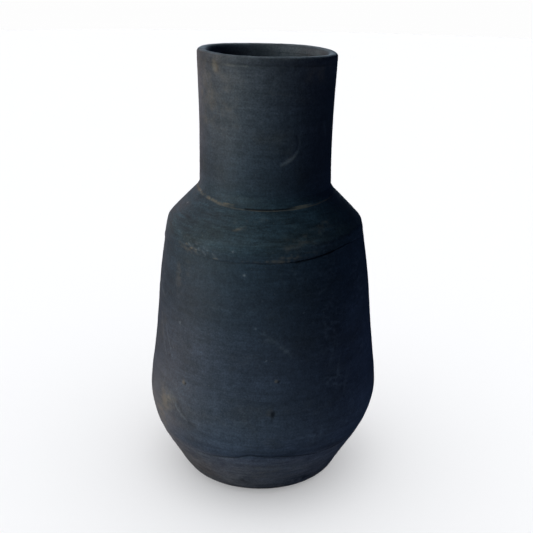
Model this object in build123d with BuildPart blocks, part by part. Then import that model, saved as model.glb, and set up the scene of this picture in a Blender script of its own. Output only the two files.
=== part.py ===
"""Black clay jar, hand built from clay sections that were luted together with slip.

The jar stands on a flat floor disc. A flared lower bowl rises from the disc to just under the
belly, a tall wall tapers from the belly to the shoulder, a coned shoulder closes in to the neck,
and a coil on top of the slightly waisted neck forms the lip. A thin layer of slip fills each
joint. It oozed out as a small bead, or was wiped into a fillet round the foot of the neck.

Frame: millimetres, origin at the centre of the foot on the standing surface, +Z up through the
mouth. Every piece is a ring about Z, and its half-section is drawn as (radius, height) points.
"""

from build123d import *
import os

# Where each section ends on the outside face, and the jar's full height
FLOOR_EDGE = (58.4, 7.0)
BOWL_EDGE = (77.7, 44.5)
WALL_EDGE = (67.9, 180.0)
NECK_FOOT = (44.4, 211.3)
NECK_EDGE = (45.15, 295.4)
HEIGHT = 301.2

# The outline between those ends, and its direction where straight and curved stretches meet
FOOT_R = 46.0
CONE_TOP = (73.0, 34.0)
BELLY = (82.1, 63.0)
WALL_SIDE = [(80.8, 79.0), (76.4, 112.0), (72.5, 150.0)]
WALL_BEND = (69.5, 170.0)
SHOULDER_START = (66.3, 188.3)
CONE_SLOPE = (0.53, 1.0)
SHOULDER_SLOPE = (-0.2, 1.0)
SHOULDER_CORNER_R = 4.0
SHOULDER_CORNER_TURN = 31.0
NECK_WAIST = (43.9, 245.0)
LIP_OUTER_ROUND = 2.4

# Inside shape
UPPER_WALL = 6.5
BOWL_WALL = 7.2
CONE_WALL = 7.8
FLOOR_INNER_R = 46.0
INNER_CORNER_RISE = 7.0
SHOULDER_DROP = 2.9
MOUTH_R = 37.9
LIP_CREST_R = 41.8
LIP_INNER_ROUND = 3.4
LIP_INNER_TURN = 75.0

# Slip in the joints, and how far each joint's bevel climbs or drops through the wall
SLIP = 0.6
BEAD_R = 2.4
BEAD_PROUD = 0.3
FILLET_REACH = 3.9
FILLET_RISE = 2.4
FILLET_SAG = 0.35
BOWL_BEVEL = 3.0
SHOULDER_LAP = 3.4
NECK_BEVEL = 2.9

# How far a joint line is drawn past the wall's two faces, so that it cuts right through
OVERRUN = 1.0
FAR = 20.0


def inside(point, wall, lift=0.0):
    """The point on the inside face level with an outside point, or a little above it."""
    radius, height = point
    return (radius - wall, height + lift)


# Stations on the inside face
inner_lip = (MOUTH_R, NECK_EDGE[1])
inner_neck = (MOUTH_R, NECK_FOOT[1] - SHOULDER_DROP)
inner_shoulder = inside(SHOULDER_START, UPPER_WALL, -SHOULDER_DROP)
inner_side = [inside(point, UPPER_WALL) for point in reversed([BELLY] + WALL_SIDE)]
inner_bowl = inside(BOWL_EDGE, BOWL_WALL)
inner_cone = inside(CONE_TOP, CONE_WALL)
inner_knee = inside(FLOOR_EDGE, BOWL_WALL, INNER_CORNER_RISE)
inner_corner = (FLOOR_INNER_R, FLOOR_EDGE[1])


def joint_line(outside_end, inside_end):
    """The line between two sections, from just outside the wall to just inside it."""
    slope = (outside_end[1] - inside_end[1]) / (outside_end[0] - inside_end[0])
    start = (outside_end[0] + OVERRUN, outside_end[1] + slope * OVERRUN)
    end = (inside_end[0] - OVERRUN, inside_end[1] - slope * OVERRUN)
    return (start, end)


def raised(joint):
    """The same joint line on top of its layer of slip."""
    return tuple((radius, height + SLIP) for radius, height in joint)


# The joints. The wall laps up behind the shoulder, and the neck's bevelled end sits in its opening.
neck_seat = (NECK_FOOT[0], NECK_FOOT[1] + SLIP)
below_foot = joint_line((FLOOR_EDGE[0], -FAR), (FLOOR_INNER_R, -FAR))
floor_joint = joint_line(FLOOR_EDGE, inner_corner)
bowl_joint = joint_line(BOWL_EDGE, inside(BOWL_EDGE, BOWL_WALL, BOWL_BEVEL))
shoulder_joint = joint_line(WALL_EDGE, inside(WALL_EDGE, UPPER_WALL, SHOULDER_LAP))
neck_joint = joint_line(neck_seat, (MOUTH_R, neck_seat[1] - NECK_BEVEL))
rim_joint = joint_line(NECK_EDGE, inner_lip)
above_lip = joint_line((NECK_EDGE[0], HEIGHT + FAR), (MOUTH_R, HEIGHT + FAR))

# Half-section of the whole wall, floor to lip: up the outside, over the lip and down the inside
with BuildSketch(Plane.XZ) as wall_section:
    with BuildLine():
        Line((0, 0), (FOOT_R, 0))
        TangentArc((FOOT_R, 0), FLOOR_EDGE, tangent=(1, 0))
        Line(FLOOR_EDGE, CONE_TOP)
        outer_side = [CONE_TOP, BOWL_EDGE, BELLY, *WALL_SIDE, WALL_BEND, WALL_EDGE, SHOULDER_START]
        Spline(*outer_side, tangents=[CONE_SLOPE, SHOULDER_SLOPE])
        corner = JernArc(SHOULDER_START, SHOULDER_SLOPE, SHOULDER_CORNER_R, SHOULDER_CORNER_TURN)
        TangentArc(corner @ 1, NECK_FOOT, tangent=corner % 1)
        ThreePointArc(NECK_FOOT, NECK_WAIST, NECK_EDGE)
        lip_side = Line(NECK_EDGE, (NECK_EDGE[0], HEIGHT - LIP_OUTER_ROUND))
        lip_outer = JernArc(lip_side @ 1, (0, 1), LIP_OUTER_ROUND, 90)
        Line(lip_outer @ 1, (LIP_CREST_R, HEIGHT))
        lip_inner = JernArc((LIP_CREST_R, HEIGHT), (-1, 0), LIP_INNER_ROUND, LIP_INNER_TURN)
        Line(lip_inner @ 1, inner_lip)
        Line(inner_lip, inner_neck)
        Line(inner_neck, inner_shoulder)
        inner_wall = [inner_shoulder, *inner_side, inner_bowl, inner_cone]
        Spline(*inner_wall, tangents=[(0.2, -1), (-0.6, -1)])
        inner_slope = Line(inner_cone, inner_knee)
        TangentArc(inner_knee, inner_corner, tangent=inner_slope % 1)
        Line(inner_corner, (0, FLOOR_EDGE[1]))
        Line((0, FLOOR_EDGE[1]), (0, 0))
    make_face()


def wall_between(lower, upper):
    """Half-section of the wall between two joint lines."""
    with BuildSketch(Plane.XZ) as section:
        add(wall_section.sketch)
        with BuildLine():
            Polyline(
                (0, lower[1][1]),
                lower[1],
                lower[0],
                (BELLY[0] + FAR, lower[0][1]),
                (BELLY[0] + FAR, upper[0][1]),
                upper[0],
                upper[1],
                (0, upper[1][1]),
                close=True,
            )
        make_face(mode=Mode.INTERSECT)
    return section.sketch


def bead(edge):
    """Half-section of the bead that oozed out at an edge: a circle's cap, proud of the wall."""
    with BuildSketch(Plane.XZ) as section:
        with Locations((edge[0] - BEAD_R + BEAD_PROUD, edge[1] + SLIP / 2)):
            Circle(BEAD_R)
        add(wall_section.sketch, mode=Mode.SUBTRACT)
    return section.sketch


def fillet_round_neck():
    """Half-section of the slip wiped into the corner between the shoulder and the neck."""
    toe = (NECK_FOOT[0] + FILLET_REACH, NECK_FOOT[1] - FILLET_REACH)
    top = (NECK_FOOT[0], NECK_FOOT[1] + FILLET_RISE)
    with BuildSketch(Plane.XZ) as section:
        with BuildLine():
            SagittaArc(toe, top, FILLET_SAG)
            Polyline(top, inside(top, OVERRUN), inside(toe, FILLET_REACH), toe)
        make_face()
        add(wall_section.sketch, mode=Mode.SUBTRACT)
    return section.sketch


# The clay sections, from the foot up
with BuildPart() as floor_disc:
    revolve(wall_between(below_foot, floor_joint), axis=Axis.Z)

with BuildPart() as lower_bowl:
    revolve(wall_between(raised(floor_joint), bowl_joint), axis=Axis.Z)

with BuildPart() as body_wall:
    revolve(wall_between(raised(bowl_joint), shoulder_joint), axis=Axis.Z)

with BuildPart() as shoulder_ring:
    revolve(wall_between(raised(shoulder_joint), neck_joint), axis=Axis.Z)

with BuildPart() as neck_tube:
    revolve(wall_between(raised(neck_joint), rim_joint), axis=Axis.Z)

with BuildPart() as rim_coil:
    revolve(wall_between(raised(rim_joint), above_lip), axis=Axis.Z)

# The slip: a layer through the wall, with its bead or fillet outside
with BuildPart() as floor_joint_slip:
    revolve(wall_between(floor_joint, raised(floor_joint)), axis=Axis.Z)
    revolve(bead(FLOOR_EDGE), axis=Axis.Z)

with BuildPart() as bowl_joint_slip:
    revolve(wall_between(bowl_joint, raised(bowl_joint)), axis=Axis.Z)
    revolve(bead(BOWL_EDGE), axis=Axis.Z)

with BuildPart() as shoulder_joint_slip:
    revolve(wall_between(shoulder_joint, raised(shoulder_joint)), axis=Axis.Z)
    revolve(bead(WALL_EDGE), axis=Axis.Z)

with BuildPart() as neck_joint_slip:
    revolve(wall_between(neck_joint, raised(neck_joint)), axis=Axis.Z)
    revolve(fillet_round_neck(), axis=Axis.Z)

with BuildPart() as rim_joint_slip:
    revolve(wall_between(rim_joint, raised(rim_joint)), axis=Axis.Z)
    revolve(bead(NECK_EDGE), axis=Axis.Z)

pieces = {
    "floor_disc": floor_disc,
    "lower_bowl": lower_bowl,
    "body_wall": body_wall,
    "shoulder_ring": shoulder_ring,
    "neck_tube": neck_tube,
    "rim_coil": rim_coil,
    "floor_joint_slip": floor_joint_slip,
    "bowl_joint_slip": bowl_joint_slip,
    "shoulder_joint_slip": shoulder_joint_slip,
    "neck_joint_slip": neck_joint_slip,
    "rim_joint_slip": rim_joint_slip,
}
os.makedirs("parts", exist_ok=True)
for name, piece in pieces.items():
    piece.part.label = name
    export_step(piece.part, f"parts/{name}.step")
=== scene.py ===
import math

import bpy
import numpy as np
from mathutils import Matrix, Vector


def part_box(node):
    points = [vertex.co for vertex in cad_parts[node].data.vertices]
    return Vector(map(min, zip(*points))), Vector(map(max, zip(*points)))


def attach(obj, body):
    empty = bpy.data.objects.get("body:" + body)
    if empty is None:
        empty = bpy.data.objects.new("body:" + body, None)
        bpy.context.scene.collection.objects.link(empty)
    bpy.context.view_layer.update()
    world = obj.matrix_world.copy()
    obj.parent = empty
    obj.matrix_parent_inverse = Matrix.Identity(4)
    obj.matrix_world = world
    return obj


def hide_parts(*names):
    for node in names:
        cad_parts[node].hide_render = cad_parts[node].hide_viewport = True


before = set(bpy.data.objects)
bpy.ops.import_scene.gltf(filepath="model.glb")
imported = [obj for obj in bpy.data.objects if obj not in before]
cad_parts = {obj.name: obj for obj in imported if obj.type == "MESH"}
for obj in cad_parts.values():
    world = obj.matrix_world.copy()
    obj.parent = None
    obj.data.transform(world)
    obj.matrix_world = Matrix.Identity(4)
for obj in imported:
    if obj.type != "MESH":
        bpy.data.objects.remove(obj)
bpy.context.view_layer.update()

MM = 0.001
TINY = 1e-4

# The meshes: columns round the jar, and the distances between rows, closer near a section's ends
COLUMNS = 480
OUTSIDE_ROW = 0.85
EDGE_ROW = 0.35
EDGE_BAND = 6.5
INSIDE_ROW = 5.0
SLIP_ROW = 0.25
SECTION_STEP = 0.05
SHARP_ANGLE = 50

# The slip: how far it is drawn below and above its gap, and how far it lies under each face
SLIP_SPAN = {"neck_joint_slip": (4.2, 2.4)}
USUAL_SLIP_SPAN = (1.4, 1.4)
SLIP_SUNK = 0.04
LAYER_SUNK_OUTSIDE = 0.4
LAYER_SUNK_INSIDE = 0.05

CLAY_NODES = ["floor_disc", "lower_bowl", "body_wall", "shoulder_ring", "neck_tube", "rim_coil"]
SLIP_NODES = [
    "floor_joint_slip",
    "bowl_joint_slip",
    "shoulder_joint_slip",
    "neck_joint_slip",
    "rim_joint_slip",
]

turn = np.radians(np.arange(COLUMNS) * 360 / COLUMNS - 180)
degrees = np.degrees(turn)[None, :]


# ---------------------------------------------------------------- shape taken from the CAD nodes


def seam_edges(node):
    """The node's half-section at y = 0, x > 0, as edges between (radius, height) points."""
    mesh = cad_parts[node].data
    points = np.array([v.co[:] for v in mesh.vertices]) / MM
    edges = np.array([e.vertices[:] for e in mesh.edges])
    on_seam = (abs(points[:, 1]) < 10 * TINY) & (points[:, 0] > -10 * TINY)
    return points[edges[on_seam[edges].all(axis=1)]][:, :, [0, 2]]


def reach(edges, heights):
    """Smallest and largest radius at which a half-section's edges cross each height."""
    (r0, z0), (r1, z1) = edges[:, 0].T, edges[:, 1].T
    slanted = abs(z1 - z0) > TINY
    r0, z0, r1, z1 = r0[slanted], z0[slanted], r1[slanted], z1[slanted]
    t = (heights[:, None] - z0) / (z1 - z0)
    crossed = (t > -TINY) & (t < 1 + TINY)
    radius = r0 + t * (r1 - r0)
    smallest = np.where(crossed, radius, np.inf).min(axis=1)
    largest = np.where(crossed, radius, -np.inf).max(axis=1)
    return smallest, largest


def corner_height(node, way):
    """Height of the corner of a node's half-section that lies furthest in a (radial, up) direction."""
    points = sections[node].reshape(-1, 2)
    return points[np.argmax(points @ way), 1]


def face_line(edges, low, high, side):
    """One face of a half-section as (radius, height) points from low to high."""
    heights = np.linspace(low, high, max(3, int((high - low) / SECTION_STEP)))
    return np.stack([reach(edges, heights)[side], heights], axis=1)


INSIDE, OUTSIDE = 0, 1
sections = {node: seam_edges(node) for node in CLAY_NODES + SLIP_NODES}
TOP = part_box("rim_coil")[1].z / MM
FLOOR_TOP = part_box("floor_disc")[1].z / MM

# The (radial, up) directions in which each corner of a half-section lies furthest
OUTER_FOOT, OUTER_HEAD = (1, -1), (0.7, 1)
INNER_FOOT, INNER_HEAD = (-1, -1.5), (-1, 1.5)

outside_lines, inside_lines = {}, {}
for node in CLAY_NODES:
    foot = 0.0 if node == "floor_disc" else corner_height(node, OUTER_FOOT)
    head = TOP if node == "rim_coil" else corner_height(node, OUTER_HEAD)
    outside_lines[node] = face_line(sections[node], foot, head, OUTSIDE)
    if node != "floor_disc":
        foot = corner_height(node, INNER_FOOT)
        head = TOP if node == "rim_coil" else corner_height(node, INNER_HEAD)
        inside_lines[node] = face_line(sections[node], foot, head, INSIDE)

outside_line = np.concatenate([outside_lines[node] for node in CLAY_NODES])
inside_line = np.concatenate([inside_lines[node] for node in CLAY_NODES[1:]])


def radius_at(line, z):
    """Radius of a face at a height; across a joint it runs straight."""
    return np.interp(z, line[:, 1], line[:, 0])


def normal_at(line, z, side):
    """Unit normal of a face at a height, as (radial, vertical) parts, out of the clay."""
    span = 0.4
    low, high = np.clip(z - span, 0, TOP), np.clip(z + span, 0, TOP)
    dr = radius_at(line, high) - radius_at(line, low)
    dz = np.maximum(high - low, 1e-6)
    length = np.hypot(dr, dz)
    way = 1 if side == OUTSIDE else -1
    return way * dz / length, -way * dr / length


def spaced_rows(line, pitch, edge_pitch):
    """Heights of rows along a face, both ends included, closer together near its ends."""
    steps = np.hypot(*np.diff(line, axis=0).T)
    along = np.concatenate([[0], np.cumsum(steps)])
    from_end = np.minimum(along, along[-1] - along)
    pitches = np.interp(from_end, [0, EDGE_BAND, 2 * EDGE_BAND], [edge_pitch, edge_pitch, pitch])
    rows_so_far = np.concatenate([[0], np.cumsum(steps * 2 / (pitches[1:] + pitches[:-1]))])
    wanted = np.linspace(0, rows_so_far[-1], int(round(rows_so_far[-1])) + 1)
    return np.interp(wanted, rows_so_far, line[:, 1])[:, None]


# ---------------------------------------------------------------- noise, bands, spots and tracks


def ramp(value, start, end):
    """0 before start, 1 after end and smooth between; start may be above end."""
    t = np.clip((value - start) / (end - start), 0, 1)
    return t * t * (3 - 2 * t)


def plateau(value, start, full, fade, end):
    """0 before start, 1 from full to fade, 0 after end and smooth between."""
    return ramp(value, start, full) * ramp(value, end, fade)


def band(value, middle, width):
    """1 at a middle value, fading to 0 on both sides of it."""
    return np.exp(-(((value - middle) / width) ** 2))


def noise(z, around, pitch, seed, slope=0.0):
    """Smooth noise from -1 to 1, with so many cells round the jar and one cell each pitch up it."""
    lattice = np.random.default_rng(seed).uniform(-1, 1, (int(TOP / pitch) + 12, around))
    u = (degrees / 360 + 0.5) * around + np.zeros_like(z)
    v = (z + slope * np.sin(turn)[None, :]) / pitch + 5
    i, j = np.floor(v).astype(int), np.floor(u).astype(int)
    a, b = v - i, u - j
    a, b = a * a * (3 - 2 * a), b * b * (3 - 2 * b)
    i = np.clip(i, 0, lattice.shape[0] - 2)
    j, k = j % around, (j + 1) % around
    low = lattice[i, j] * (1 - b) + lattice[i, k] * b
    high = lattice[i + 1, j] * (1 - b) + lattice[i + 1, k] * b
    return low * (1 - a) + high * a


def across(angle, z):
    """Distance round the surface from an angle, shortest way."""
    apart = (degrees - angle + 180) % 360 - 180
    return np.radians(apart) * radius_at(outside_line, z)


def spot(z, angle, height, wide, tall, lean=0.0):
    """1 at a place on the surface, fading to 0 over an ellipse."""
    u, v = across(angle, z), z - height
    c, s = math.cos(math.radians(lean)), math.sin(math.radians(lean))
    return np.exp(-(((c * u + s * v) / wide) ** 2) - ((c * v - s * u) / tall) ** 2)


def spots(z, places):
    """Several spots together, each an amount followed by its place and size."""
    return sum(amount * spot(z, *place) for amount, *place in places)


def near_track(z, points, width):
    """1 on a track of (angle, height) points, fading to 0 over its width."""
    middle = points[len(points) // 2][0]
    u = across(middle, z)
    nearest = np.full(u.shape, np.inf)
    for (t0, z0), (t1, z1) in zip(points[:-1], points[1:]):
        au = math.radians(t0 - middle) * float(radius_at(outside_line, z0))
        bu = math.radians(t1 - middle) * float(radius_at(outside_line, z1))
        du, dv = bu - au, z1 - z0
        t = np.clip(((u - au) * du + (z - z0) * dv) / (du * du + dv * dv), 0, 1)
        nearest = np.minimum(nearest, np.hypot(u - au - t * du, z - z0 - t * dv))
    return band(nearest, 0, width)


def round_the_jar(points):
    """A smooth periodic value for every column, through (angle, value) points."""
    angles, values = np.array(sorted(points), float).T
    angles = np.concatenate([angles[-2:] - 360, angles, angles[:2] + 360])
    values = np.concatenate([values[-2:], values, values[:2]])
    curve = np.interp(np.degrees(turn), angles, values)
    kernel = np.hanning(9) / np.hanning(9).sum()
    side = len(kernel) // 2
    closed = np.concatenate([curve[-side:], curve, curve[:side]])
    return np.convolve(closed, kernel, "valid")[None, :]


# How the joints wander up and down round the jar, from their CAD heights
BOWL_JOINT = outside_lines["body_wall"][0, 1]
SHOULDER_JOINT = outside_lines["shoulder_ring"][0, 1]
RIM_JOINT = outside_lines["rim_coil"][0, 1]
bowl_wander = round_the_jar(
    [(-170, -1), (-120, 1.5), (-75, -2), (-45, -4), (-27, -3.8), (-12, -0.5), (-5, 3.2), (3, 1.2)]
    + [(14, 0.6), (28, -2.8), (42, -4), (80, -1.5), (120, 2)]
)
shoulder_wander = round_the_jar(
    [(-150, 1), (-110, -3), (-80, -4.2), (-52, -1), (-36, -1.6), (-23, -2.1), (0, -0.9)]
    + [(12, -0.8), (25, 0.4), (36, 1.6), (51, 3.6), (80, 3), (120, -1)]
)
rim_wander = round_the_jar([(-140, 0.5), (-60, -0.5), (-36, -0.5), (-20, 0.3), (30, 0), (100, -0.6)])


def wandered(z):
    """Heights with each joint carried up or down round the jar."""
    moved = z + bowl_wander * band(z, BOWL_JOINT, 10)
    moved = moved + shoulder_wander * band(z, SHOULDER_JOINT, 9)
    moved = moved + rim_wander * band(z, RIM_JOINT, 3)
    moved = moved + 0.25 * noise(z, 40, 4, seed=5) * band(z, SHOULDER_JOINT, 3)
    return np.clip(moved, 0, TOP)


# As built by eye, the neck settled a little, the jar leans by so many mm to its right at each
# height, and its rings tilt by so many degrees
SETTLED = 1.4
LEAN = [(0, -1.1), (40, -0.7), (63, 0), (100, 0.3), (140, 0.1), (185, -0.3)]
LEAN += [(230, -0.5), (301, -0.25)]
RING_TILT = [(0, 0.0), (12, 1.5), (60, 1.1), (112, 0.5), (150, 0.07), (187, -0.32), (301, -1.1)]


def as_built(x, y, z):
    """Carries points of the true round jar to where they lie on the jar as it was built."""
    z = np.asarray(z, float)
    heights, values = np.array(LEAN, float).T
    lean = np.interp(z, heights, values)
    heights, values = np.array(RING_TILT, float).T
    tilt = np.tan(np.radians(np.interp(z, heights, values)))
    settled = z - SETTLED * ramp(z, 213, TOP)
    back_wave = 0.25 * ramp(z, 285, TOP) * np.sin(3 * np.arctan2(x, -y) + 0.6)
    return x + lean, y, settled + x * tilt + back_wave


# ---------------------------------------------------------------- where the marks lie

# Tracks, as (angle, height) points
BELLY_SWEEP = [(-45, 77), (-42, 72), (-38, 66.5), (-31, 61), (-22, 58.6), (-14, 58.4)]
SHOULDER_CRACK = [(17, 179.3), (22.5, 180), (28, 180.9), (34, 181.7), (40, 182.6)]
SHOULDER_EDGE = [(-47, 182.6), (-43, 181), (-36, 181.4), (-31, 179.2), (-27, 178.3)]
SHOULDER_EDGE += [(-20, 178), (-12, 178.8), (-4, 179.2), (11, 179.2), (19, 179.5)]
NECK_TOE_LEFT = [(-150, 209), (-110, 210.5), (-74, 210.4), (-57, 209.6), (-44, 208.8)]
NECK_TOE_LEFT += [(-31, 207.8), (-20, 207.3)]
NECK_TOE_FRONT = [(-34, 207.9), (-21, 207.2), (-5, 207.1), (11, 207.2)]
NECK_TOE_RIGHT = [(24, 207.5), (37, 208), (49, 208.4), (95, 209.4)]
NECK_TOE_BACK = [(100, 208.5), (130, 207.8), (160, 208.4), (190, 208), (212, 209)]
NECK_CRACK = [(-14, 207.7), (0, 207.6), (11, 207.75), (24, 208.15), (37, 208.7), (48, 209.1)]
NECK_SMUDGE = [(55.5, 259), (60, 251.5)]
CRESCENT_TOP = [(26.5, 253), (27.8, 248), (26, 243.5)]
CRESCENT_END = [(22, 239.3), (17, 236.8), (12.5, 235.8)]
WORN_ARC = [(-47, 74.5), (-44.5, 71.5), (-41.5, 68.5), (-37.5, 65.6)]
WORN_ARC_ABOVE = [(-47, 86), (-43, 80), (-39, 76)]
SMEAR = [(0.5, 134), (7, 127.5), (12, 122)]
PIT_TAIL = [(5, 80), (4.4, 75)]

# Rings and streaks round the jar: (height, depth) and (height, width)
HAND_RINGS = [(151, 0.06), (140, 0.045), (119, 0.05), (99, 0.045), (88, 0.06), (236, 0.04)]
BELLY_STREAKS = [(62.5, 0.9), (55, 0.7), (51.5, 0.9)]

# Scuffs and short arcs on the wall: (angle, top), (angle, low, high) and (angle, height)
LEFT_SCUFFS = [(-68, 128), (-65, 118), (-61, 124)]
RIGHT_SCUFFS = [(36, 108, 121), (39.5, 96, 112), (44, 84, 100), (47, 92, 104)]
RIGHT_ARCS = [(30, 158), (36, 151), (46, 141), (52, 119), (28, 143), (56, 100)]

# White specks (angle, height, size) and dark pits (angle, height, size, rust round it)
SPECKS = [(-16.5, 185.2, 0.8), (-10, 171.5, 1.0), (-47.5, 130.8, 0.9)]
SPECKS += [(-4, 138, 0.7), (1.5, 116.5, 0.6), (20.5, 147, 0.5)]
PITS = [(-54.5, 104.5, 0.9, 0.2), (-40.5, 91.2, 1.0, 1.2), (5, 80.6, 1.9, 0.3)]
PITS += [(7.5, 102.2, 0.7, 0.9), (120, 150, 1.2, 0.5), (170, 92, 1.4, 0.6)]
PITS += [(-130, 120, 1.0, 0.4), (95, 240, 0.9, 0.3)]

# Stains and soft clouds: amount, angle, height, width, tallness and, on some, lean
WORN_TAN = [(1.1, -54, 74, 9, 9, 20), (0.7, -59, 56, 8, 12, 15), (0.3, -50, 161, 5, 14, 4)]
WORN_TAN += [(0.25, -46, 168, 5, 9, -8), (0.4, -66, 122, 6, 16, -6)]
WORN_TAN += [(0.5, -50, 276, 22, 26), (0.6, 50, 291, 15, 6)]
WORN_PALE = [(0.16, -52, 77, 6, 4.5, 35), (0.2, -58, 47, 5, 6, 10)]
WORN_DARK = [(0.3, -47, 62, 5, 6, 30)]
SMEAR_PATCHES = [(0.16, 1.5, 131, 3, 3.4), (0.22, 11.5, 121.5, 4.2, 2.6, -25)]
SMEAR_PATCHES += [(0.1, 40, 98, 6, 22, 14)]
FOOT_STAINS = [(0.9, -9.5, 17.5, 4, 4, 30), (0.7, 30, 11.5, 12, 3.4)]
DARK_CLOUDS = [(0.1, 24, 150, 22, 40), (0.2, 8, 114, 34, 24), (0.1, 2, 222, 20, 10)]
DARK_CLOUDS += [(0.18, -52, 188, 20, 5), (0.12, -78, 62, 12, 20)]
PALE_CLOUDS = [(0.06, 26, 188, 16, 4), (0.04, -20, 280, 16, 14)]
PALE_CLOUDS += [(0.11, 11, 23, 30, 13), (0.05, -58, 24, 20, 14)]

# The same without an amount: wisps of slip on the shoulder, and stains on the back
SHOULDER_WISPS = [(11.5, 187.5, 9, 3.5), (24, 192, 11, 4), (40, 197, 9, 4)]
SHOULDER_WISPS += [(16, 183, 12, 3), (-8, 201, 14, 3)]
BACK_STAINS = [(140, 66, 14, 9), (200, 60, 18, 8), (248, 160, 6, 16), (178, 196, 12, 5)]

MOST_OF_A_MARK = 1.5
BACK_SPECKS = 34
BACK_SCRATCHES = 26


# ---------------------------------------------------------------- relief and marks


class Outside:
    """Rows of heights on the outside, and what they carry: relief in mm, and dark, tan and chalk, with
    painted shade among the dark, painted bounce light among the tan and a painted highlight among the
    chalk.
    """

    def __init__(self, z):
        self.z = z
        self.height, self.dark, self.tan, self.chalk_and_light = np.zeros((4, *z.shape))
        self.rough = noise(z, 90, 2.2, seed=31)
        self.soft = noise(z, 24, 6, seed=32)
        self.crumbs = noise(z, 220, 1.3, seed=33)
        self.mottle = 0.65 + 0.5 * noise(z, 60, 6, seed=43) + 0.25 * noise(z, 160, 2, seed=44)
        self.broken = np.clip(0.6 + noise(z, 130, 2.4, seed=45), 0, 1.4)


def brush_relief(z):
    """The strokes and hollows left by forming and brushing the clay, in mm."""
    patchy = 0.6 + 0.6 * noise(z, 12, 22, seed=20)
    strokes = 0.022 * noise(z, 46, 1.8, seed=21, slope=2) + 0.02 * noise(z, 70, 2.7, seed=22, slope=-1.5)
    strokes = (strokes + 0.03 * noise(z, 30, 5, seed=23, slope=3)) * patchy
    lumps = 0.022 * noise(z, 150, 3.2, seed=26) + 0.03 * noise(z, 60, 7, seed=27)
    hollows = 0.09 * noise(z, 9, 18, seed=24) + 0.05 * noise(z, 20, 9, seed=25)
    on_shoulder = plateau(z, 182, 188, 206, 214)
    on_bowl = ramp(z, 50, 44)
    widest = plateau(z, 46, 56, 72, 82)
    return strokes * (1 + 1.6 * on_shoulder + 1.1 * on_bowl) + lumps + hollows - 0.04 - 0.26 * widest


def bowl_joint(on):
    """Bowl joint: a soft groove, painted shade over it where the belly turns under, and the wall's edge
    a little proud above.
    """
    line = BOWL_JOINT + bowl_wander
    front = ramp(abs(degrees), 75, 25)
    groove = band(on.z, line, 1.1)
    on.height -= (0.2 + 0.1 * front) * groove * (1 + 0.5 * on.rough)
    on.height += 0.16 * plateau(on.z, line - 0.3, line + 1.2, line + 2, line + 9)
    on.dark += (0.2 + 0.22 * front) * groove * (1 + 0.9 * on.soft)
    # Painted shade: a dark band just above the joint, where the belly turns under.
    carination_shade = band(on.z, line + 3, 2.6) * np.clip(0.4 + noise(on.z, 16, 8, seed=35), 0, 1)
    on.dark += 0.6 * carination_shade * ramp(abs(degrees), 80, 30)


def belly_grooves(on):
    """A brushed groove round the belly, a sweep down into it, and dark streaks beside it."""
    line = 58 + 0.8 * np.sin(np.radians(degrees + 40)) + 0.7 * on.soft
    groove = band(on.z, line, 0.8) * ramp(abs(degrees + 34), 6, 18)
    sweep = near_track(on.z, BELLY_SWEEP, 1.1)
    on.height -= 0.12 * (groove + sweep) * (1 + 0.6 * on.rough)
    gaps = np.clip(0.55 + 0.9 * noise(on.z, 22, 3, seed=36), 0, 1.3)
    on.dark += 0.24 * groove * gaps + 0.5 * sweep * (0.7 + 0.5 * on.soft)
    patches = np.clip(noise(on.z, 18, 3, seed=37), 0, 1) * ramp(abs(degrees), 80, 40)
    for level, width in BELLY_STREAKS:
        on.dark += 0.3 * band(on.z, level + 1.2 * on.soft + 0.04 * degrees, width) * patches


def hand_rings(on):
    """Faint rings left by the hand that turned the wall."""
    for level, depth in HAND_RINGS:
        ring = band(on.z, level + 1.2 * on.soft + 0.02 * degrees, 0.8)
        on.height -= depth * ring
        on.dark += 0.1 * ring * (0.6 + on.soft)


def shoulder_joint(on):
    """Shoulder joint: the shoulder laps over the wall, ragged in places and cracked at the right."""
    line = SHOULDER_JOINT + shoulder_wander
    lap = plateau(on.z, line - 0.7, line + 0.5, line + 2, line + 12)
    on.height += (0.2 + 0.12 * on.soft) * lap
    crack = near_track(on.z, SHOULDER_CRACK, 0.6)
    on.height -= 0.12 * crack
    on.dark += 0.9 * crack
    edge = near_track(on.z, SHOULDER_EDGE, 0.5) * np.clip(0.75 + 0.5 * on.rough, 0, 1)
    on.height -= 0.1 * edge
    on.dark += 0.6 * edge
    above_edge = [(angle, level + 1.1) for angle, level in SHOULDER_EDGE]
    flecks = near_track(on.z, above_edge, 0.6) * np.clip(on.crumbs - 0.1, 0, 1)
    on.tan += 0.75 * flecks
    on.height += 0.12 * flecks
    shade = band(on.z, line + 0.4, 1.0) * (0.5 + 0.5 * on.soft)
    on.dark += 0.3 * shade * ramp(abs(degrees - 55), 8, 24)
    ragged = band(on.z, line + 2, 2.6)
    left, middle, back = band(degrees, -42, 15), band(degrees, 14, 15), band(abs(degrees), 150, 22)
    crumbled = np.clip(on.rough + on.crumbs + 0.1, 0, 1)
    on.tan += ragged * crumbled * (0.5 * left + 0.4 * middle + 0.5 * back)
    on.dark += 0.5 * ragged * np.clip(-on.crumbs - 0.25, 0, 1) * (left + middle + back)
    on.height += 0.12 * ragged * (on.rough + on.crumbs) * (left + 0.6 * middle + back)


def shoulder_wisps(on):
    """Wisps of tan slip brushed over the shoulder."""
    wisps = np.clip(0.45 + noise(on.z, 60, 1.5, seed=34, slope=3) + 0.5 * on.crumbs, 0, 1.5)
    for angle, level, wide, tall in SHOULDER_WISPS:
        on.tan += 0.34 * spot(on.z, angle, level, wide, tall, lean=8) * wisps


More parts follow.
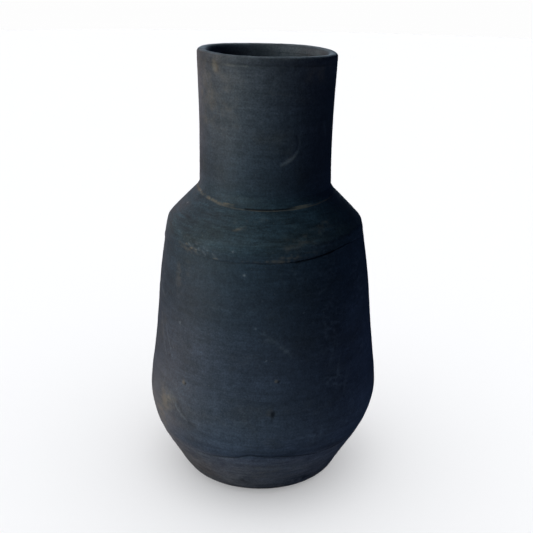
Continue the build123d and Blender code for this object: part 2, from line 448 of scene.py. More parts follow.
def neck_joint(on):
    """Neck joint: tan where the wiped slip's edge was left ragged, and cracked just above it."""
    ragged = near_track(on.z, NECK_TOE_LEFT, 0.7)
    on.tan += 0.9 * ragged * np.clip(0.75 + 0.8 * on.crumbs, 0, 1) * ramp(degrees, -18, -36)
    on.height += 0.14 * ragged * (0.4 + on.rough)
    toe = near_track(on.z, NECK_TOE_FRONT + NECK_TOE_RIGHT, 0.32)
    right = ramp(degrees, -12, 6) + 0.3 * ramp(degrees, 16, 34)
    on.tan += toe * np.clip(0.8 + 0.5 * on.rough, 0, 1) * (0.55 + 0.45 * right)
    on.height += 0.1 * toe
    crumbled = near_track(on.z, NECK_TOE_RIGHT, 0.34) * ramp(degrees, 22, 34)
    on.tan += 0.35 * crumbled * np.clip(0.5 + on.crumbs, 0, 1)
    crack = near_track(on.z, NECK_CRACK, 0.38)
    on.height -= 0.25 * crack
    on.dark += 1.8 * crack
    on.tan += 0.6 * near_track(on.z, NECK_TOE_BACK, 0.9) * np.clip(0.3 + on.rough, 0, 1)


def rim_joint(on):
    """Rim joint: a shallow line, a darker band just below the lip, and dashes of slip along it."""
    on.dark += 0.22 * plateau(on.z, 290, 295, 297.5, 300.2) * (0.8 + 0.5 * on.soft)
    groove = band(on.z, RIM_JOINT + rim_wander, 0.7)
    on.height -= 0.16 * groove * (1 + 0.5 * on.rough)
    on.dark += 0.3 * groove
    dashes = band(on.z, RIM_JOINT - 0.5, 0.7) * np.clip(noise(on.z, 70, 30, seed=41) + 0.2, 0, 1)
    dashes = dashes * (0.35 + band(degrees, -28, 14))
    on.tan += 0.5 * dashes
    on.chalk_and_light += 0.3 * dashes


def floor_joint(on):
    """Floor joint: a soft edge where the bowl meets the disc, whose foot is worn, with painted shade
    darkening it down to the table.
    """
    on.height -= 0.12 * band(on.z, FLOOR_TOP, 0.9)
    on.height -= 0.9 * spot(on.z, 2, 3, 36, 5)
    # Painted shade: the foot darkened down its rounding, where it turns under to the table.
    on.dark += 0.55 * ramp(on.z, 5.5, 1) * (0.8 + 0.5 * on.soft)


def crescent(on):
    """The crescent pressed into the neck, dark at its top and chalky towards its lower end."""
    whole = CRESCENT_TOP + CRESCENT_END
    shelf = [(angle - 2.5, level + 1.2) for angle, level in whole]
    on.height += 0.08 * near_track(on.z, shelf, 1.6) - 0.25 * near_track(on.z, whole, 0.8)
    on.chalk_and_light += 0.34 * near_track(on.z, CRESCENT_TOP[-1:] + CRESCENT_END, 0.9)
    on.chalk_and_light += 0.1 * near_track(on.z, CRESCENT_TOP, 0.7)
    on.chalk_and_light += 0.25 * spot(on.z, 19, 238, 3.4, 1.3, lean=35)
    on.tan += 0.8 * spot(on.z, 19.5, 238.2, 5, 1.4, lean=35)
    on.dark += 0.3 * near_track(on.z, CRESCENT_TOP, 0.8)


def nicks(on):
    """The nick under the rim, the notch in the shoulder and the smudge on the neck."""
    nick = spot(on.z, -45, 293.6, 2.1, 3.2, lean=20)
    on.height -= 0.5 * nick
    on.tan += 1.5 * nick
    on.chalk_and_light += 0.15 * spot(on.z, -45.5, 293, 1.6, 2.2, lean=20)
    on.dark += 0.4 * spot(on.z, -41.5, 292, 1.0, 2.4, lean=20)
    notch = spot(on.z, -17, 197, 2.6, 0.7, lean=14)
    on.height -= 0.22 * notch
    on.tan += 0.8 * notch
    on.chalk_and_light += 0.28 * near_track(on.z, NECK_SMUDGE, 1.5)


def scratched_patch(on):
    """Fine scratches beside the shoulder joint."""
    patch = spot(on.z, -38, 183.5, 15, 3, lean=-10)
    scratches = noise(on.z + 0.35 * across(-41, on.z), 230, 1.2, seed=42)
    on.chalk_and_light += 0.55 * patch * np.clip(scratches - 0.15, 0, 1)
    on.dark += 0.7 * patch * np.clip(-scratches - 0.2, 0, 1)


def worn_places(on):
    """Worn places, the palest low on the left of the belly with arcs scratched through it."""
    on.tan += spots(on.z, WORN_TAN) * on.mottle
    on.chalk_and_light += spots(on.z, WORN_PALE) * on.mottle
    on.dark += spots(on.z, WORN_DARK) * on.mottle
    on.chalk_and_light += 0.24 * near_track(on.z, WORN_ARC, 0.8)
    on.chalk_and_light += 0.1 * near_track(on.z, WORN_ARC_ABOVE, 0.9)
    for angle, top in LEFT_SCUFFS:
        scuff = [(angle, top), (angle + 3, top - 8), (angle + 7, top - 15)]
        beside = [(at + 1.5, level) for at, level in scuff]
        on.chalk_and_light += 0.14 * near_track(on.z, scuff, 0.7)
        on.dark += 0.14 * near_track(on.z, beside, 0.7)


def smear_and_scuffs(on):
    """The smear down the front of the wall, and scuffs and short arcs at its right."""
    on.chalk_and_light += (0.2 * near_track(on.z, SMEAR, 1.6) + spots(on.z, SMEAR_PATCHES)) * on.broken
    for angle, low, high in RIGHT_SCUFFS:
        scuff = [(angle + 1.5, high), (angle, (low + high) / 2), (angle - 2, low)]
        on.chalk_and_light += 0.14 * near_track(on.z, scuff, 0.7)
    for angle, level in RIGHT_ARCS:
        arc = [(angle - 3, level - 3.5), (angle, level + 0.5), (angle + 4, level + 2)]
        on.chalk_and_light += 0.1 * near_track(on.z, arc, 0.6) * on.broken


def rubbing(on):
    """Fine rubbing over the right of the wall, and dust over the right of the jar."""
    rubbed = noise(on.z + 0.3 * across(45, on.z), 200, 1.5, seed=47)
    rubbed = rubbed * np.clip(0.6 + noise(on.z, 30, 12, seed=48), 0, 1.5)
    rubbed = rubbed * plateau(degrees, 0, 30, 80, 110) * plateau(on.z, 48, 64, 182, 196)
    on.chalk_and_light += 0.26 * np.clip(rubbed - 0.1, 0, 1)
    on.dark += 0.5 * np.clip(-rubbed - 0.1, 0, 1)
    dusted = plateau(degrees, 5, 35, 90, 120) * ramp(on.z, 44, 56)
    on.chalk_and_light += 0.05 * np.clip(noise(on.z, 240, 0.9, seed=55), 0, 1) * dusted


def specks_and_pits(on):
    """White specks and dark pits, where grit burned or blew out, and stains near the foot."""
    for angle, level, size in SPECKS:
        speck = spot(on.z, angle, level, 0.8 * size, 0.8 * size)
        on.chalk_and_light += 0.62 * speck
        on.height += 0.05 * speck
    for angle, level, size, rust in PITS:
        pit = spot(on.z, angle, level, size * 0.8, size)
        on.height -= 0.45 * pit
        on.dark += 1.3 * pit
        on.tan += 1.2 * rust * spot(on.z, angle - 1.2, level + 0.5, size * 1.5, size * 1.5)
    on.dark += 0.7 * near_track(on.z, PIT_TAIL, 0.8)
    on.dark += spots(on.z, FOOT_STAINS) * on.broken


def neck_shade_and_clouds(on):
    """Painted shade over the right of the neck, the side away from the lamps, soft dark clouds
    elsewhere, and soft pale ones.
    """
    # Painted shade: the right of the neck darkened, away from the lamps.
    on.dark += 0.32 * plateau(degrees, 18, 48, 90, 120) * plateau(on.z, 214, 226, 286, 296)
    on.dark += 0.25 * plateau(degrees, 34, 56, 90, 110) * plateau(on.z, 222, 236, 280, 294)
    on.dark += spots(on.z, DARK_CLOUDS)
    on.chalk_and_light += spots(on.z, PALE_CLOUDS)


def brushed_bowl_and_bounce(on):
    """Pale and dark brushed wisps below the bowl joint, with tan tones among them, and painted bounce
    light: a warmer patch low at the front.
    """
    below = plateau(on.z, 4, 12, 38, 44)
    wisps = noise(on.z, 34, 1.7, seed=49) + 0.2 * noise(on.z, 120, 1.7, seed=50)
    on.chalk_and_light += 0.2 * np.clip(wisps, 0, 1) * below
    on.dark += 0.2 * np.clip(-wisps - 0.1, 0, 1) * below
    on.tan += 0.16 * np.clip(0.4 + noise(on.z, 20, 7, seed=53), 0, 1) * below
    # Painted bounce light: a warm patch low at the front, as if thrown up from the table.
    warm_bounce = np.clip(0.6 + noise(on.z, 26, 2.2, seed=54), 0, 1.3)
    on.tan += 0.34 * spot(on.z, 10, 27, 34, 10) * warm_bounce


def round_the_back(on):
    """Specks, scratches and stains like the front's, scattered round the sides and back."""
    draw = np.random.default_rng(46)
    for _ in range(BACK_SPECKS):
        angle, level = draw.uniform(58, 302), draw.uniform(20, 285)
        speck = spot(on.z, angle, level, draw.uniform(0.4, 0.9), draw.uniform(0.4, 0.9))
        on.chalk_and_light += draw.uniform(0.4, 1) * speck
        on.height += 0.1 * speck
    for _ in range(BACK_SCRATCHES):
        angle, level = draw.uniform(60, 300), draw.uniform(30, 280)
        long, slant = draw.uniform(3, 14), draw.uniform(-6, 6)
        middle, end = (angle + long * 0.5, level + slant * 0.7), (angle + long, level + slant)
        amount = draw.uniform(0.06, 0.22)
        on.chalk_and_light += amount * near_track(on.z, [(angle, level), middle, end], draw.uniform(0.5, 1.1))
    for angle, level, wide, tall in BACK_STAINS:
        on.tan += 0.45 * spot(on.z, angle, level, wide, tall, draw.uniform(-25, 25)) * on.mottle


JOINTS = [bowl_joint, shoulder_joint, neck_joint, rim_joint, floor_joint]
BRUSHING_AND_BOUNCE = [belly_grooves, hand_rings, shoulder_wisps, brushed_bowl_and_bounce]
WEAR = [crescent, nicks, scratched_patch, worn_places, smear_and_scuffs, rubbing]
FIRING_AND_SHADE = [specks_and_pits, neck_shade_and_clouds]


def outside_marks(z):
    """Relief in mm, and the amounts of dark, tan and chalk over the outside, with painted shade, bounce
    light and highlight among them.
    """
    on = Outside(z)
    for add_marks in JOINTS + BRUSHING_AND_BOUNCE + WEAR + FIRING_AND_SHADE + [round_the_back]:
        add_marks(on)
    on.height += brush_relief(z) * ramp(z, 0, 4)
    # The lip's crest: rubbed wear and a painted highlight.
    on.chalk_and_light += rubbed_lip_and_highlight(z)
    return on.height, *np.clip([on.dark, on.tan, on.chalk_and_light], 0, MOST_OF_A_MARK)


def rubbed_lip_and_highlight(z):
    """How pale the lip's crest is: rubbed wear, and a painted highlight along it, stronger round the
    right.
    """
    # Painted highlight: the crest made paler, most round the right, where it catches the light.
    right = 0.3 * plateau(degrees, 0, 70, 100, 130)
    return (0.75 + right) * ramp(z, TOP - 1.1, TOP - 0.2) * (0.8 + 0.4 * noise(z, 50, 6, seed=51))


def inside_relief(z):
    """The hollows that fingers left on the inside, in mm."""
    calm = ramp(z, TOP - 1, TOP - 8)
    return calm * (0.18 * noise(z, 12, 14, seed=61) + 0.07 * noise(z, 30, 3.5, seed=62, slope=2) - 0.1)



# ---------------------------------------------------------------- ring meshes


def lay(line, z, side, lift):
    """Rows of points on a face, raised along its normal by lift and carried to the built jar."""
    z = z + np.zeros((1, COLUMNS))
    n_r, n_z = normal_at(line, z, side)
    radius = radius_at(line, z) + n_r * lift
    return np.stack(as_built(radius * np.sin(turn), -radius * np.cos(turn), z + n_z * lift), axis=2)


def flat_row(radius, z):
    """One level row of points."""
    z = np.full(COLUMNS, float(z))
    return np.stack(as_built(radius * np.sin(turn), -radius * np.cos(turn), z), axis=1)[None]


def outside_face(z):
    """Points and marks of the clay's outside at rows of heights that wander with the joints."""
    z = wandered(z)
    height, dark, tan, chalk_and_light = outside_marks(z)
    return lay(outside_line, z, OUTSIDE, height), np.stack([tan, dark, chalk_and_light, z / TOP], axis=2)


def inside_face(z):
    """Points and marks of the clay's inside, with painted light on the back-right wall near the lip."""
    z = z + np.zeros((1, COLUMNS))
    rows = lay(inside_line, z, INSIDE, inside_relief(z))
    blank = np.zeros(z.shape)
    # Dust near the top, and painted light where the back-right of the inner wall catches the lamps.
    dust = (0.06 + 0.2 * band(degrees, 110, 50)) * ramp(z, 250, 290)
    chalk_and_light = rubbed_lip_and_highlight(z) + dust * (1 + 0.7 * noise(z, 24, 9, seed=52))
    return rows, np.stack([blank, blank, chalk_and_light, z / TOP], axis=2)


def ring_mesh(node, rows, marks, hubs=False):
    """A node's mesh from rows of points: it closes round its section, or on a hub at each end."""
    column = np.arange(COLUMNS)
    following = (column + 1) % COLUMNS
    low = np.arange(len(rows) - 1 if hubs else len(rows))[:, None] * COLUMNS
    high = (low + COLUMNS) % (len(rows) * COLUMNS)
    quads = np.stack([low + column, low + following, high + following, high + column], axis=2)
    faces = quads.reshape(-1, 4).tolist()
    points = rows.reshape(-1, 3)
    marks = marks.reshape(-1, 4)
    if hubs:
        ends = [rows[0].mean(axis=0), rows[-1].mean(axis=0)]
        hub = len(points)
        last = hub - COLUMNS
        faces += np.stack([following, column, column * 0 + hub], axis=1).tolist()
        faces += np.stack([last + column, last + following, column * 0 + hub + 1], axis=1).tolist()
        points = np.concatenate([points, ends])
        marks = np.concatenate([marks, marks[:1], marks[-1:]])
    mesh = bpy.data.meshes.new(node.replace("_", "-"))
    mesh.from_pydata((points * MM).tolist(), [], faces)
    mesh.polygons.foreach_set("use_smooth", [True] * len(mesh.polygons))
    layer = mesh.attributes.new("marks", "FLOAT_COLOR", "POINT")
    layer.data.foreach_set("color", marks.astype(np.float32).ravel())
    mesh.update()
    mesh.set_sharp_from_angle(angle=math.radians(SHARP_ANGLE))
    return mesh


def place(mesh, node, slot, material):
    """Puts a piece in the jar, where it stands for a CAD node."""
    mesh.materials.append(material)
    piece = bpy.data.objects.new(mesh.name, mesh)
    bpy.context.scene.collection.objects.link(piece)
    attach(piece, "root")
    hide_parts(node)


def clay_ring(node, material):
    """One clay section: up its outside, across its head, down its inside and across its foot."""
    outer, outer_marks = outside_face(spaced_rows(outside_lines[node], OUTSIDE_ROW, EDGE_ROW))
    pitch = OUTSIDE_ROW if node == "rim_coil" else INSIDE_ROW
    inner, inner_marks = inside_face(spaced_rows(inside_lines[node], pitch, pitch)[::-1])
    if node == "rim_coil":
        inner, inner_marks = inner[1:], inner_marks[1:]
    rows = np.concatenate([outer, inner])
    marks = np.concatenate([outer_marks, inner_marks])
    place(ring_mesh(node, rows, marks), node, "black_clay", material)


def clay_floor(node, material):
    """The floor disc: across its underside, up its edge and across its top."""
    outer, outer_marks = outside_face(spaced_rows(outside_lines[node], OUTSIDE_ROW, EDGE_ROW))
    foot = radius_at(outside_line, 0.0)
    head = radius_at(outside_line, FLOOR_TOP)
    under = [flat_row(foot * share, 0) for share in (0.25, 0.5, 0.75, 0.92)]
    over = [flat_row(head * share, FLOOR_TOP) for share in (0.8, 0.6, 0.4, 0.2)]
    rows = np.concatenate(under + [outer] + over)
    under_marks = [outer_marks[:1]] * len(under)
    over_marks = [outer_marks[-1:]] * len(over)
    marks = np.concatenate(under_marks + [outer_marks] + over_marks)
    place(ring_mesh(node, rows, marks, hubs=True), node, "black_clay", material)


def slip_ring(node, lower, upper, material):
    """A joint's slip: its bead on the outside, then its layer between the two clay sections."""
    below, above = SLIP_SPAN.get(node, USUAL_SLIP_SPAN)
    foot, head = outside_lines[lower][-1, 1], outside_lines[upper][0, 1]
    inner_foot = FLOOR_TOP if lower == "floor_disc" else inside_lines[lower][-1, 1]
    inner_head = inside_lines[upper][0, 1]
    z = np.linspace(foot - below, head + above, int((head - foot + below + above) / SLIP_ROW))
    proud = np.maximum(reach(sections[node], z)[OUTSIDE] - radius_at(outside_line, z), 0)[:, None]
    at = wandered(z[:, None])
    height, dark, tan, chalk_and_light = outside_marks(at)
    lift = height + proud * slip_amount(node, at) - slip_recess(node) - SLIP_SUNK
    rows = [
        lay(outside_line, at, OUTSIDE, lift),
        lay(outside_line, wandered(np.array([[head]])), OUTSIDE, -LAYER_SUNK_OUTSIDE),
        lay(inside_line, np.array([[inner_head]]), INSIDE, -LAYER_SUNK_INSIDE),
        lay(inside_line, np.array([[inner_foot]]), INSIDE, -LAYER_SUNK_INSIDE),
        lay(outside_line, wandered(np.array([[foot]])), OUTSIDE, -LAYER_SUNK_OUTSIDE),
    ]
    marks = np.stack([tan, dark, chalk_and_light, at / TOP], axis=2)
    marks = np.concatenate([marks, marks[-1:], marks[-1:], marks[:1], marks[:1]])
    place(ring_mesh(node, np.concatenate(rows), marks), node, "joint_slip", material)


def slip_amount(node, z):
    """How much of its CAD bead a joint's slip keeps round the jar, from 0 to 1."""
    lumpy = 0.5 + 0.5 * noise(z, 80, 2.5, seed=71)
    broad = 0.5 + 0.5 * noise(z, 14, 30, seed=72)
    if node == "neck_joint_slip":
        return 0.75 + 0.25 * lumpy
    if node == "shoulder_joint_slip":
        return lumpy * ramp(degrees, 40, 5) + lumpy * ramp(degrees, 90, 130)
    return lumpy * broad


def slip_recess(node):
    """How far, in mm, a joint's slip shrank back into the gap between the clay sections."""
    if node == "shoulder_joint_slip":
        return 0.3 * ramp(abs(degrees), 62, 50) + 0.5 * plateau(degrees, 12, 20, 50, 58)
    if node == "bowl_joint_slip":
        return 0.1 + 0.16 * ramp(abs(degrees), 70, 35)
    return np.zeros((1, COLUMNS))


# ---------------------------------------------------------------- materials


def shader_nodes(name):
    """A new material with its node tree, and the shader in it."""
    material = bpy.data.materials.new(name)
    material.use_nodes = True
    return material, material.node_tree, material.node_tree.nodes["Principled BSDF"]


def link(tree, source, target):
    """Joins an output to an input."""
    tree.links.new(source, target)


def texture(tree, scale, squeeze, detail, roughness):
    """A noise over the object's own coordinates, squeezed along each axis, as a value."""
    coordinates = tree.nodes.new("ShaderNodeTexCoord")
    mapping = tree.nodes.new("ShaderNodeMapping")
    mapping.inputs["Scale"].default_value = squeeze
    field = tree.nodes.new("ShaderNodeTexNoise")
    field.inputs["Scale"].default_value = scale
    field.inputs["Detail"].default_value = detail
    field.inputs["Roughness"].default_value = roughness
    link(tree, coordinates.outputs["Object"], mapping.inputs["Vector"])
    link(tree, mapping.outputs["Vector"], field.inputs["Vector"])
    return field.outputs["Fac"]


def spread(tree, value, low, high, out_low=0.0, out_high=1.0):
    """A value from low to high carried to the range out_low to out_high, and held to it."""
    node = tree.nodes.new("ShaderNodeMapRange")
    node.inputs["From Min"].default_value = low
    node.inputs["From Max"].default_value = high
    node.inputs["To Min"].default_value = out_low
    node.inputs["To Max"].default_value = out_high
    link(tree, value, node.inputs["Value"])
    return node.outputs["Result"]


def combined(tree, operation, first, second):
    """Two values combined by a Math node's operation. The second may be a plain number."""
    node = tree.nodes.new("ShaderNodeMath")
    node.operation = operation
    link(tree, first, node.inputs[0])
    if isinstance(second, float):
        node.inputs[1].default_value = second
    else:
        link(tree, second, node.inputs[1])
    return node.outputs["Value"]


def times(tree, first, second):
    """Two values multiplied."""
    return combined(tree, "MULTIPLY", first, second)


def plus(tree, first, second):
    """Two values added."""
    return combined(tree, "ADD", first, second)


# A Mix node's sockets for colours: the base, the colour over it and the result
BASE_COLOUR, OVER_COLOUR, MIXED_COLOUR = 6, 7, 2


def mixed(tree, share, base, over, way="MIX"):
    """A colour laid over another by a share. Either may be plain numbers."""
    node = tree.nodes.new("ShaderNodeMix")
    node.data_type = "RGBA"
    node.blend_type = way
    link(tree, share, node.inputs["Factor"])
    for socket, colour in ((node.inputs[BASE_COLOUR], base), (node.inputs[OVER_COLOUR], over)):
        if isinstance(colour, tuple):
            socket.default_value = (*colour, 1)
        else:
            link(tree, colour, socket)
    return node.outputs[MIXED_COLOUR]


def zone_colours(tree, height, stops):
    """The clay's colour by height, smooth between (height in mm, colour) stops."""
    ramp_node = tree.nodes.new("ShaderNodeValToRGB")
    ramp_node.color_ramp.interpolation = "EASE"
    elements = ramp_node.color_ramp.elements
    while len(elements) < len(stops):
        elements.new(0.5)
    for element, (level, colour) in zip(elements, stops):
        element.position = level / TOP
        element.color = (*colour, 1)
    link(tree, height, ramp_node.inputs["Fac"])
    return ramp_node.outputs["Color"]


def scaled(tree, colour, value):
    """A colour made lighter or darker by a value."""
    node = tree.nodes.new("ShaderNodeVectorMath")
    node.operation = "SCALE"
    link(tree, colour, node.inputs[0])
    link(tree, value, node.inputs["Scale"])
    return node.outputs["Vector"]


# Colours of the marks, painted shade, bounce light and highlight among them, and the tint of warmer
# patches
CHALK_AND_LIGHT = (0.3, 0.32, 0.33)
GRIT = (0.17, 0.17, 0.165)
SMOKE_AND_SHADE = (0.004, 0.005, 0.007)
WARM_TINT = (1.2, 1.02, 0.82)
TAN_ON_CLAY = (0.225, 0.178, 0.128)
TAN_ON_SLIP = (0.235, 0.186, 0.128)


def clay_material(name, stops, tan_colour):
    """Reduction-fired clay: brushed, mottled and gritty, with its worn, chalky and smoky marks, which
    also carry painted shade, bounce light and highlight.
    """
    material, tree, shader = shader_nodes(name)
    marks = tree.nodes.new("ShaderNodeAttribute")
    marks.attribute_name = "marks"
    parts = tree.nodes.new("ShaderNodeSeparateColor")
    link(tree, marks.outputs["Color"], parts.inputs["Color"])
    tan, dark, chalk_and_light = parts.outputs["Red"], parts.outputs["Green"], parts.outputs["Blue"]

    streaks = texture(tree, 1.0, (75, 75, 640), 6, 0.65)
    long_streaks = texture(tree, 1.0, (22, 22, 330), 3, 0.55)
    patches = texture(tree, 30.0, (1, 1, 1.7), 5, 0.6)
    mottle = texture(tree, 150.0, (1, 1, 1.5), 5, 0.65)
    clouds = texture(tree, 13.0, (1, 1, 1.3), 2, 0.5)
    drips = texture(tree, 1.0, (240, 240, 30), 4, 0.6)
    grain = texture(tree, 800.0, (1, 1, 1), 4, 0.7)
    grit = texture(tree, 520.0, (1, 1, 1), 2, 0.5)

    brushed = spread(tree, clouds, 0.38, 0.6, 0.25, 1.0)
    strength = zone_colours(tree, marks.outputs["Alpha"], STROKE_STOPS)
    stroke = times(tree, times(tree, plus(tree, streaks, -0.5), brushed), strength)
    tone = spread(tree, stroke, -0.22, 0.22, 0.45, 1.65)
    tone = times(tree, tone, spread(tree, long_streaks, 0.3, 0.7, 0.88, 1.12))
    tone = times(tree, tone, spread(tree, patches, 0.3, 0.7, 1.12, 0.88))
    tone = times(tree, tone, spread(tree, mottle, 0.28, 0.72, 0.78, 1.22))
    tone = times(tree, tone, spread(tree, drips, 0.3, 0.7, 0.9, 1.1))
    tone = times(tree, tone, spread(tree, grain, 0.25, 0.75, 0.52, 1.5))
    colour = zone_colours(tree, marks.outputs["Alpha"], stops)
    warmth = plus(tree, patches, times(tree, mottle, 0.5))
    colour = mixed(tree, spread(tree, warmth, 0.78, 1.0, 0.0, 0.6), colour, WARM_TINT, "MULTIPLY")
    colour = scaled(tree, colour, tone)

    # The tan marks: worn places, stains and slip, with painted bounce light low on the bowl.
    worn = times(tree, tan, spread(tree, mottle, 0.36, 0.58, 0.5, 1.3))
    colour = mixed(tree, spread(tree, worn, 0.08, 1.0, 0.0, 0.74), colour, tan_colour)
    # The chalk marks: chalk, dust and scratches, with a painted highlight on the lip and painted light
    # on the inner wall.
    dust_and_highlight_share = times(tree, chalk_and_light, spread(tree, grain, 0.35, 0.6, 0.55, 1.1))
    colour = mixed(tree, dust_and_highlight_share, colour, CHALK_AND_LIGHT)
    colour = mixed(tree, spread(tree, grit, 0.73, 0.78, 0.0, 0.5), colour, GRIT)
    # The dark marks: smoke, cracks and pits, and painted shade.
    colour = mixed(tree, spread(tree, dark, 0.0, 1.2, 0.0, 0.92), colour, SMOKE_AND_SHADE)
    link(tree, colour, shader.inputs["Base Color"])

    rough = spread(tree, streaks, 0.3, 0.7, 0.5, 0.64)
    rough = plus(tree, rough, spread(tree, patches, 0.3, 0.7, -0.06, 0.08))
    rough = plus(tree, rough, spread(tree, tan, 0.1, 0.9, 0.0, 0.25))
    link(tree, rough, shader.inputs["Roughness"])
    shader.inputs["Specular IOR Level"].default_value = 0.32

    relief = plus(tree, stroke, times(tree, grain, 0.55))
    relief = plus(tree, relief, times(tree, mottle, 0.5))
    bump = tree.nodes.new("ShaderNodeBump")
    bump.inputs["Strength"].default_value = 0.6
    bump.inputs["Distance"].default_value = 0.0004
    link(tree, relief, bump.inputs["Height"])
    link(tree, bump.outputs["Normal"], shader.inputs["Normal"])
    return material


# The clay's colour, lighter and browner low down partly as painted bounce light, and how strongly its
# brush strokes show, at heights in mm
CLAY_AND_BOUNCE_STOPS = [
    # Up to the bowl joint, partly painted light: warm light thrown up from the table onto the bowl,
    # which faces down.
    (0, (0.122, 0.111, 0.105)),
    (25, (0.127, 0.115, 0.116)),
    (42, (0.100, 0.097, 0.108)),
    (47, (0.058, 0.067, 0.085)),
    (62, (0.056, 0.065, 0.080)),
    (110, (0.046, 0.055, 0.073)),
    (150, (0.031, 0.042, 0.056)),
    (180, (0.029, 0.045, 0.060)),
    (187, (0.0355, 0.0570, 0.0695)),
    (205, (0.0305, 0.0535, 0.0685)),
    (225, (0.040, 0.052, 0.065)),
    (260, (0.058, 0.066, 0.077)),
    (301, (0.071, 0.073, 0.081)),
]
STROKE_AMOUNTS = [(0, 0.8), (42, 0.8), (52, 0.5), (178, 0.45), (186, 1.25), (206, 1.25)]
STROKE_AMOUNTS += [(214, 0.42), (301, 0.42)]
STROKE_STOPS = [(level, (amount, amount, amount)) for level, amount in STROKE_AMOUNTS]
black_clay = clay_material("black-clay", CLAY_AND_BOUNCE_STOPS, TAN_ON_CLAY)
joint_slip = clay_material("joint-slip", CLAY_AND_BOUNCE_STOPS, TAN_ON_SLIP)

clay_floor("floor_disc", black_clay)
for node in CLAY_NODES[1:]:
    clay_ring(node, black_clay)
for node, lower, upper in zip(SLIP_NODES, CLAY_NODES[:-1], CLAY_NODES[1:]):
    slip_ring(node, lower, upper, joint_slip)


# ---------------------------------------------------------------- floor, light and camera


def seen_only(thing):
    """Makes a thing of the stage throw no light or shadow on the jar."""
    thing.visible_diffuse = False
    thing.visible_glossy = False
    thing.visible_shadow = False


FLOOR_HALF = 4.0
BACKDROP_RADIUS = 0.98 * FLOOR_HALF
floor_mesh = bpy.data.meshes.new("floor")
corners = [(x * FLOOR_HALF, y * FLOOR_HALF, 0) for x, y in ((-1, -1), (1, -1), (1, 1), (-1, 1))]
floor_mesh.from_pydata(corners, [], [range(4)])
floor = bpy.data.objects.new("floor", floor_mesh)
bpy.context.scene.collection.objects.link(floor)
paper, _, paper_shader = shader_nodes("pale-paper")
paper_shader.inputs["Base Color"].default_value = (0.86, 0.86, 0.86, 1)
paper_shader.inputs["Roughness"].default_value = 0.95
paper_shader.inputs["Specular IOR Level"].default_value = 0.0
floor_mesh.materials.append(paper)
seen_only(floor)

bpy.ops.mesh.primitive_ico_sphere_add(subdivisions=5, radius=BACKDROP_RADIUS)
backdrop = bpy.context.object
backdrop.name = "backdrop"
haze, _, haze_shader = shader_nodes("pale-haze")
haze_shader.inputs["Base Color"].default_value = (0, 0, 0, 1)
haze_shader.inputs["Specular IOR Level"].default_value = 0.0
haze_shader.inputs["Emission Color"].default_value = (0.985, 0.985, 0.985, 1)
haze_shader.inputs["Emission Strength"].default_value = 1.0
backdrop.data.materials.append(haze)
seen_only(backdrop)

floor_only = bpy.data.collections.new("lights-the-floor")
floor_only.objects.link(floor)
not_floor = bpy.data.collections.new("spares-the-floor")
not_floor.objects.link(floor)
not_floor.collection_objects[0].light_linking.link_state = "EXCLUDE"

# Where the lamps face, in metres, how widely the sun is spread and what counts as overhead
AIM = np.array([0.0, 0.0, 0.14])
SUN_SPREAD = 120
OVERHEAD = 0.99


def direction(azimuth, elevation):
    """Unit vector towards an azimuth round the jar, from its front, and an elevation."""
    a, e = math.radians(azimuth), math.radians(elevation)
    return np.array([math.sin(a) * math.cos(e), -math.cos(a) * math.cos(e), math.sin(e)])


def look(thing, place_at, target):
    """Stands a lamp at a place, facing a target."""
    z_axis = np.array(place_at) - np.array(target)
    z_axis = z_axis / np.linalg.norm(z_axis)
    x_axis = np.cross((0, 0, 1) if abs(z_axis[2]) < OVERHEAD else (0, 1, 0), z_axis)
    x_axis = x_axis / np.linalg.norm(x_axis)
    y_axis = np.cross(z_axis, x_axis)
    axes = np.stack([x_axis, y_axis, z_axis], axis=1)
    thing.matrix_world = Matrix.Translation(place_at) @ Matrix(axes.tolist()).to_4x4()


def soft_lamp(name, place_at, target, size, watts, colour, shape="RECTANGLE"):
    """An area lamp that lights the jar and spares the floor."""
    data = bpy.data.lights.new(name, "AREA")
    data.shape = shape
    data.size, data.size_y = size
    data.energy = watts
    data.color = colour
    lamp = bpy.data.objects.new(name, data)
    bpy.context.scene.collection.objects.link(lamp)
    look(lamp, place_at, target)
    lamp.visible_camera = False
    lamp.light_linking.receiver_collection = not_floor


def floor_sun(name, strength, shadowed):
    """Even light from above on the floor only."""
    data = bpy.data.lights.new(name, "SUN")
    data.energy = strength
    data.angle = math.radians(SUN_SPREAD)
    data.use_shadow = shadowed
    lamp = bpy.data.objects.new(name, data)
    bpy.context.scene.collection.objects.link(lamp)
    lamp.light_linking.receiver_collection = floor_only


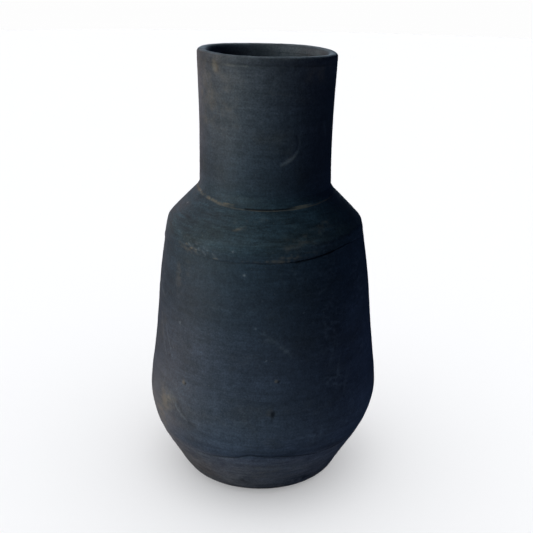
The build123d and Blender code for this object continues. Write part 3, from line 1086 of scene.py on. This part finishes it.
# Soft lamps: name, azimuth, elevation, distance and (width, height) in metres, watts and colour
LAMPS = [
    ("key", -75, 5, 0.95, (0.42, 0.6), 1.71, (1.0, 0.93, 0.82)),
    ("key-front", -55, 5, 0.95, (0.42, 0.6), 1.22, (0.69, 0.93, 1.0)),
    ("key-high", -100, 40, 0.95, (0.5, 0.5), 0.76, (1.0, 0.41, 0.27)),
    ("front-high", -60, 40, 0.95, (0.5, 0.5), 2.97, (0.71, 0.93, 1.0)),
    ("back-left", -140, 5, 0.95, (0.42, 0.6), 0.7, (1.0, 0.8, 0.82)),
    ("back-fill", 178, 12, 1.1, (0.5, 0.7), 2.2, (0.62, 0.82, 1.0)),
    ("low-left", -90, -30, 0.8, (0.4, 0.4), 0.32, (1.0, 0.72, 0.59)),
    ("low-front", 0, -30, 0.8, (0.4, 0.4), 0.49, (0.64, 0.79, 1.0)),
    ("low-right", 110, -30, 0.8, (0.4, 0.4), 0.18, (0.3, 0.47, 1.0)),
]
for name, azimuth, elevation, far, size, watts, colour in LAMPS:
    soft_lamp(name, AIM + far * direction(azimuth, elevation), AIM, size, watts, colour)

# Light thrown up by the table: name, azimuth, watts and colour
BOUNCE_OUT, BOUNCE_UP, BOUNCE_SIZE = 0.2, 0.004, 0.2
BOUNCES = [
    ("bounce-left", -90, 0.089, (1.0, 0.85, 0.76)),
    ("bounce-front", -30, 0.058, (0.45, 0.69, 1.0)),
    ("bounce-right", 30, 0.033, (0.51, 0.69, 1.0)),
]
for name, azimuth, watts, colour in BOUNCES:
    at = BOUNCE_OUT * direction(azimuth, 0) + (0, 0, BOUNCE_UP)
    soft_lamp(name, at, at + (0, 0, 1), (BOUNCE_SIZE, BOUNCE_SIZE), watts, colour, "DISK")
floor_sun("floor-even", 3.2, False)
floor_sun("floor-shadow", 0.4, True)

# A faint blue light from all round
world = bpy.data.worlds.new("studio")
world.use_nodes = True
surround = world.node_tree.nodes["Background"]
surround.inputs["Color"].default_value = (0.25, 0.44, 1.0, 1)
surround.inputs["Strength"].default_value = 0.043
bpy.context.scene.world = world

# The camera in front of the jar, looking down at it, with its pitch and roll in degrees
CAMERA_AT = (1.38 * MM, -524.1 * MM, 352.9 * MM)
CAMERA_DOWN = 21.03
CAMERA_ROLL = 0.94
LENS = 53.82
SENSOR = 36.0
camera_data = bpy.data.cameras.new("camera")
camera_data.lens = LENS
camera_data.sensor_width = SENSOR
camera_data.clip_start = 0.02
camera = bpy.data.objects.new("camera", camera_data)
bpy.context.scene.collection.objects.link(camera)
pitched = Matrix.Rotation(math.radians(90 - CAMERA_DOWN), 4, "X")
rolled = Matrix.Rotation(math.radians(CAMERA_ROLL), 4, "Z")
camera.matrix_world = Matrix.Translation(CAMERA_AT) @ pitched @ rolled
bpy.context.scene.camera = camera
bpy.context.scene.view_settings.view_transform = "Standard"
